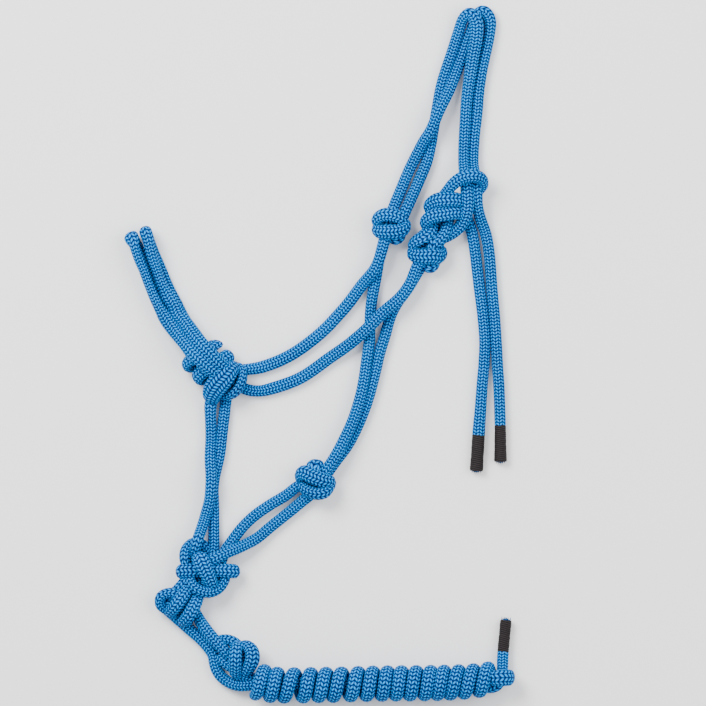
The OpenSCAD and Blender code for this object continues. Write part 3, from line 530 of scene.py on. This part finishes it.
# ------------------------------------------------------------------ materials
class Nodes:
    """Short calls for a material's nodes."""

    def __init__(self, name):
        self.mat = bpy.data.materials.new(name)
        self.mat.use_nodes = True
        self.tree = self.mat.node_tree
        self.shader = self.tree.nodes["Principled BSDF"]

    def node(self, kind, **inputs):
        n = self.tree.nodes.new(kind)
        for k, val in inputs.items():
            self.put(n.inputs[k], val)
        return n

    def put(self, socket, val):
        if isinstance(val, bpy.types.NodeSocket):
            self.tree.links.new(val, socket)
        else:
            socket.default_value = val

    def op(self, kind, *args, clamp=False):
        n = self.tree.nodes.new("ShaderNodeMath")
        n.operation = kind
        n.use_clamp = clamp
        for s, val in zip(n.inputs, args):
            self.put(s, val)
        return n.outputs[0]

    def ramp(self, fac, stops):
        n = self.tree.nodes.new("ShaderNodeValToRGB")
        while len(n.color_ramp.elements) < len(stops):
            n.color_ramp.elements.new(0.5)
        for e, (at, col) in zip(n.color_ramp.elements, stops):
            e.position = at
            e.color = (*col, 1)
        self.put(n.inputs[0], fac)
        return n.outputs[0]

    def braid(self):
        """The braid coordinates: columns round the rope and stitches along it."""
        uv = self.node("ShaderNodeUVMap")
        uv.uv_map = "braid"
        sep = self.node("ShaderNodeSeparateXYZ", Vector=uv.outputs[0])
        return sep.outputs[0], sep.outputs[1]

    def noise(self, scale, detail):
        """Noise that is fixed to the object."""
        at = self.node("ShaderNodeTexCoord").outputs["Object"]
        return self.node("ShaderNodeTexNoise", Vector=at, Scale=scale, Detail=detail).outputs[0]

    def finish(self, colour, roughness, specular, bump_height, bump_depth, bump_strength):
        self.put(self.shader.inputs["Base Color"], colour)
        self.put(self.shader.inputs["Roughness"], roughness)
        self.shader.inputs["Metallic"].default_value = 0.0
        self.shader.inputs["Specular IOR Level"].default_value = specular
        bump = self.node("ShaderNodeBump", Strength=bump_strength, Distance=bump_depth, Height=bump_height)
        self.put(self.shader.inputs["Normal"], bump.outputs[0])
        return self.mat


def rope_material(name):
    """Blue braid: the same stitches as in the mesh, with yarns, fuzz and wear, painted shade in the slits
    and painted light on the stitch tops.
    """
    g = Nodes(name)
    u, v = g.braid()
    k = g.op("FLOOR", u)
    c = g.op("SUBTRACT", g.op("FRACT", u), 0.5)
    odd = g.op("MULTIPLY", g.op("FRACT", g.op("MULTIPLY", k, 0.5)), 2.0)
    sign = g.op("SUBTRACT", g.op("MULTIPLY", odd, 2.0), 1.0)
    q = g.op("ADD", v, g.op("MULTIPLY", g.op("MULTIPLY", sign, c), SLANT))
    f = g.op("SUBTRACT", g.op("FRACT", q), 0.5)
    along = g.op("POWER", g.op("ABSOLUTE", g.op("MULTIPLY", f, 2.0)), ALONG_POWER)
    across = g.op("POWER", g.op("ABSOLUTE", g.op("MULTIPLY", c, 2.0)), ACROSS_POWER)
    height = g.op("MULTIPLY", g.op("SUBTRACT", 1.0, along),
                  g.op("SUBTRACT", 1.0, g.op("MULTIPLY", across, ACROSS_DIP)))
    yarn = g.op("MULTIPLY", g.op("SINE", g.op("MULTIPLY", f, 31.4)), 0.07)
    fuzz = g.op("MULTIPLY", g.op("SUBTRACT", g.noise(1400.0, 2.0), 0.5), 0.25)
    wear = g.op("MULTIPLY", g.op("SUBTRACT", g.noise(55.0, 2.0), 0.5), 0.16)
    relief = g.op("ADD", height, yarn)
    # The ramp below paints shade into the slits and light onto the stitch tops from the relief, with fuzz
    # and wear at random.
    painted_shade_and_tone = g.op("ADD", relief, g.op("ADD", fuzz, wear), clamp=True)
    colour = g.ramp(painted_shade_and_tone, [(0.0, (0.0, 0.002, 0.025)), (0.3, (0.0, 0.012, 0.09)),
                            (0.6, (0.0, 0.085, 0.31)), (0.95, (0.0, 0.3, 0.82))])
    roughness = g.op("SUBTRACT", 0.62, g.op("MULTIPLY", painted_shade_and_tone, 0.2))
    lift = g.op("ADD", relief, g.op("MULTIPLY", fuzz, 0.6))
    return g.finish(colour, roughness, 0.03, bump_height=lift, bump_depth=0.0006, bump_strength=0.55)


def whipping_material():
    """Black thread, wound close, with painted shade in the grooves between threads."""
    g = Nodes("whipping thread")
    u, v = g.braid()
    slant = g.op("ADD", g.op("MULTIPLY", v, THREADS), g.op("MULTIPLY", u, THREAD_SLANT))
    line = g.op("ABSOLUTE", g.op("SINE", g.op("MULTIPLY", slant, math.pi)))
    fuzz = g.op("MULTIPLY", g.noise(900.0, 3.0), 0.4)
    # The ramp below paints shade into the grooves between threads, with fuzz at random.
    painted_shade_and_tone = g.op("ADD", g.op("MULTIPLY", line, 0.7), fuzz, clamp=True)
    colour = g.ramp(painted_shade_and_tone, [(0.0, (0.0015, 0.001, 0.001)), (0.5, (0.004, 0.003, 0.0035)),
                            (1.0, (0.03, 0.024, 0.026))])
    roughness = g.op("SUBTRACT", 0.8, g.op("MULTIPLY", painted_shade_and_tone, 0.2))
    return g.finish(colour, roughness, 0.13, bump_height=painted_shade_and_tone, bump_depth=0.0004, bump_strength=0.5)


# ------------------------------------------------------------------ pieces
HALTER = "halter_rope"
LEAD = "lead_rope"
WHIPPING = "whipping"
MATERIALS = {
    WHIPPING: whipping_material(), HALTER: rope_material("halter rope"), LEAD: rope_material("lead rope")}


def place(obj, body):
    """Rides one body, parented to its empty, or else keeps its place with its transform baked into its mesh.
    """
    if isinstance(body, str):
        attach(obj, body)
    else:
        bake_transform(obj)


def piece(name, tubes, slot, nodes, body):
    """One object that stands for CAD nodes, which it hides, placed for its body by place."""
    obj = mesh_object(name.replace(" ", "_"), tubes, MATERIALS[slot])
    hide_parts(*nodes)
    place(obj, body)
    return obj


def rope_piece(name, keys, nodes, body, slot, part=None, shape=None, extra=()):
    """Ropes as one piece, each with its braid turned another way round.

    A single strand can be thinner in its whipping, and extra holds its yarn ends.
    """
    tubes = [tube(lines[k], 0.6 * i + len(k), middle=middle_of(k), part=part, shape=shape)
             for i, k in enumerate(keys)]
    return piece(name, [*extra, *tubes], slot, nodes, body)


def free_cord(key, part=None, backwards=False,
              spacing=4):
    """Declares a strand's real length from the line that it follows, with a point every spacing."""
    # Works out points every spacing along the line that a strand follows, and doesn't use them.
    q = lines[key]
    s = lengths(q)
    lo, hi = (0, s[-1]) if part is None else (part[0], min(part[1], s[-1]))
    at = np.linspace(lo, hi, max(8, int((hi - lo) / spacing)))
    path = np.stack([np.interp(at, s, q[:, k]) for k in range(3)], axis=1) * MM
    if backwards:
        path = path[::-1]


def frayed(at, way, reach, yarns=30, spread=3.1):
    """The yarn ends that stand out of a whipping, in a sunflower's pattern over the rope's end."""
    way = np.array(way, float) / np.linalg.norm(way)
    side = np.cross(way, (0.0, 0.0, 1.0))
    side /= np.linalg.norm(side)
    up = np.cross(side, way)
    tubes = []
    for k in range(yarns):
        turn = 2.4 * k
        out = spread * math.sqrt((k + 0.5) / yarns)
        across = out * math.cos(turn) * side + out * math.sin(turn) * up
        far = reach * (0.55 + 0.45 * math.sin(5.7 * k) * math.cos(turn - 0.8))
        root = np.array(at) + across - way * 1.5
        tip = root + way * (far + 1.5) + across * 0.22 * math.sin(3.1 * k)
        line = np.array([(*root, 1.0), (*(0.5 * (root + tip) + 0.1 * across), 1.0), (*tip, 1.0)])
        tubes.append(tube(line, r=0.62, relief=0.0, sides=6, step=0.5,
                          shape=lambda s: np.clip(1 - s / (far + 2.2), 0.25, 1)))
    return tubes


def whipping(name, node, key, part, body):
    """The dark sleeve of thread on a rope's end, a little narrower at its edges."""
    def shape(s):
        edge = np.minimum(s - part[0], part[1] - s)
        wave = 0.012 * np.sin(s * 1.3) + 0.01 * np.sin(s * 0.45)
        return 0.94 + 0.06 * np.clip(edge / 0.9, 0, 1) + wave

    sleeve = tube(lines[key], 0.4, r=WHIP_R, relief=WHIP_RELIEF, part=part, step=WHIP_STEP, shape=shape,
                  height=thread, sides=WHIP_SEGMENTS)
    return piece(name, [sleeve], WHIPPING, [node], body)


def held(start, end):
    """A rope's thickness along its length, thinner between two lengths where a whipping holds it."""
    return lambda s: 1 - 0.13 * np.clip(s - start, 0, 1) * np.clip(end - s, 0, 1)


def length_to(key, point):
    """Length along a rope to its nearest approach to a point."""
    q = lines[key]
    return lengths(q)[np.argmin(np.linalg.norm(q[:, :3] - np.array(point, float), axis=1))]


# ------------------------------------------------------------------ the three rope ends
ROPE_END = {key: lengths(line)[-1] for key, line in lines.items()}
WHIP_LEFT = (ROPE_END["tail_left"] - 27.5, ROPE_END["tail_left"])
WHIP_RIGHT = (0, 27.5)
WHIP_LEAD = (ROPE_END["lead_tip"] - 24.5, ROPE_END["lead_tip"])
PAST = 3                    # how far past a rope's end its thin stretch goes

sleeve_left = whipping("left_whipping", "whipping_left", "tail_left", WHIP_LEFT, "tail_left")
sleeve_right = whipping("right_whipping", "whipping_right", "inner_tail", WHIP_RIGHT, "tail_right")
sleeve_lead = whipping("lead_whipping", "whipping_lead", "lead_tip", WHIP_LEAD, "lead_end")

# ------------------------------------------------------------------ crown and its tails
TAIL_START = length_to("inner_tail", (118.5, 115, 12))      # where the right tail becomes the inner strand
INNER = (TAIL_START, ROPE_END["inner_tail"])
RIGHT = (0, TAIL_START)

strand = rope_piece("crown outer strand", ["crown_outer"], ["crown_strand_outer"], "halter", HALTER)
free_cord("crown_outer")
strand = rope_piece("crown inner strand", ["inner_tail"], ["crown_strand_inner"], "halter", HALTER,
                    part=INNER)
free_cord("inner_tail", part=INNER)
strand = rope_piece("left crown tail", ["tail_left"], ["crown_tail_left"],
                    ("halter", "tail_left", (112.2, 101, 5), (115.4, 80, 5)), HALTER,
                    shape=held(WHIP_LEFT[0] + 0.5, WHIP_LEFT[1] + PAST),
                    extra=frayed(lines["tail_left"][-1, :3], (-0.04, -1, 0), 1.2))
free_cord("tail_left")
strand = rope_piece("right crown tail", ["inner_tail"], ["crown_tail_right"],
                    ("halter", "tail_right", (121, 103, 5), (126.3, 80, 5)), HALTER, part=RIGHT,
                    shape=held(-PAST + 0.5, WHIP_RIGHT[1]),
                    extra=frayed(lines["inner_tail"][0, :3], (0, -1, 0), 1.2))
free_cord("inner_tail", part=RIGHT, backwards=True)

# ------------------------------------------------------------------ strands from knot to knot
for name, key, node in [
        ("near cheek strand", "cheek_near", "cheek_strand_near"),
        ("far cheek strand", "cheek_far", "cheek_strand_far"),
        ("near throat strand", "throat_near", "throat_strand_near"),
        ("far throat strand", "throat_far", "throat_strand_far"),
        ("upper jaw strand", "jaw_upper", "jaw_strand_upper"),
        ("lower jaw strand", "jaw_lower", "jaw_strand_lower"),
        ("near chin strand", "chin_near", "chin_strand_near"),
        ("far chin strand", "chin_far", "chin_strand_far"),
        ("eye loop rope", "eye", "eye_loop")]:
    strand = rope_piece(name, [key], [node], "halter", HALTER)
    free_cord(key)

NOSE_BEND = ("halter", "noseband", (-98, 9, 15), (-108, 26, 15))
for name, key, nodes in [
        ("left noseband strand", "nose_left", ["noseband_strand_left", "nose_strand_left"]),
        ("right noseband strand", "nose_right", ["noseband_strand_right", "nose_strand_right"])]:
    strand = rope_piece(name, [key], nodes, NOSE_BEND, HALTER)
    free_cord(key)


# ------------------------------------------------------------------ knots
def turns(start, letters):
    """The names of a knot's turns."""
    return [f"{start}_{letter}" for letter in letters]


for name, keys, node in [
        ("crown hitch turns", turns("hitch", "abc"), "crown_hitch"),
        ("near cheek knot turns", turns("near", "abcdefg"), "cheek_knot_near"),
        ("far cheek knot turns", turns("far", "abcd"), "cheek_knot_far"),
        ("throat knot turns", turns("throat", "abcd"), "throat_knot"),
        ("nose knot turns", turns("nose", "ab"), "nose_knot_far"),
        ("nose knot side turns", turns("nose", "cde"), "nose_knot_near"),
        ("fiador knot turns", turns("fiador", "abcdef"), "fiador_knot"),
        ("fiador loop turns", turns("loop", "abcde"), "fiador_loops")]:
    rope_piece(name, keys, [node], "halter", HALTER)

# ------------------------------------------------------------------ lead
strand = rope_piece("lead neck and bight", ["lead_neck"],
                    ["lead_loop", "lead_neck_outer", "lead_neck_inner", "lead_knot_ring", "lead_core"],
                    ("halter", "lead", (-95, -200.5, 5), (-79, -223.5, 5)), LEAD)
free_cord("lead_neck")
rope_piece("lead knot turns", turns("lead", "abcdef"), ["lead_knot"], "lead", LEAD)
strand = rope_piece("wrapped turns", ["coil"], ["lead_coil"], "lead", LEAD)
free_cord("coil")
rope_piece("lead end bight", ["lead_bump"], ["lead_bight"], "lead", LEAD)
strand = rope_piece("lead free end", ["lead_tip"], ["lead_tip", "lead_tuck"],
                    ("lead", "lead_end", (136.6, -240, 7), (137, -231, 7)), LEAD,
                    shape=held(WHIP_LEAD[0] + 0.5, WHIP_LEAD[1] + PAST),
                    extra=frayed(lines["lead_tip"][-1, :3], (0.1, 1, 0), 2.2))
free_cord("lead_tip")

# ------------------------------------------------------------------ room, in metres
ROOM = 3                    # half the floor's side
floor_mesh = bpy.data.meshes.new("floor")
corners = [(-ROOM, -ROOM, 0), (ROOM, -ROOM, 0), (ROOM, ROOM, 0), (-ROOM, ROOM, 0)]
floor_mesh.from_pydata(corners, [], [(0, 1, 2, 3)])
floor = bpy.data.objects.new("floor", floor_mesh)
bpy.context.scene.collection.objects.link(floor)
paint = Nodes("floor paint")
paint.shader.inputs["Base Color"].default_value = (0.9, 0.9, 0.9, 1)
paint.shader.inputs["Roughness"].default_value = 0.9
floor_mesh.materials.append(paint.mat)


def area_light(name, at, size, power):
    """A square light that faces the origin."""
    light = bpy.data.lights.new(name, "AREA")
    light.shape = "SQUARE"
    light.size = size
    light.energy = power
    obj = bpy.data.objects.new(name, light)
    obj.location = at
    obj.rotation_euler = (-Vector(at)).to_track_quat("-Z", "Y").to_euler()
    bpy.context.scene.collection.objects.link(obj)


area_light("key", at=(-0.9, 0.9, 1.6), size=1.0, power=68)
area_light("fill", at=(1.2, 0.2, 1.5), size=1.4, power=29)
world = bpy.data.worlds.new("studio")
world.use_nodes = True
background = world.node_tree.nodes["Background"]
background.inputs["Color"].default_value = (1, 1, 1, 1)
background.inputs["Strength"].default_value = 0.95
bpy.context.scene.world = world

# The camera looks straight down from far off, so nothing is seen at a slant
LENS = 800                  # mm
SENSOR = 36                 # mm
VIEW_WIDTH = 0.5295         # what the picture's side covers, at VIEW_CENTRE
VIEW_CENTRE = (0.02475, 0.0015, 0.01)
cam = bpy.data.cameras.new("camera")
cam.lens = LENS
cam.sensor_width = SENSOR
camera = bpy.data.objects.new("camera", cam)
camera.location = (VIEW_CENTRE[0], VIEW_CENTRE[1], VIEW_CENTRE[2] + VIEW_WIDTH * LENS / SENSOR)
bpy.context.scene.collection.objects.link(camera)
bpy.context.scene.camera = camera
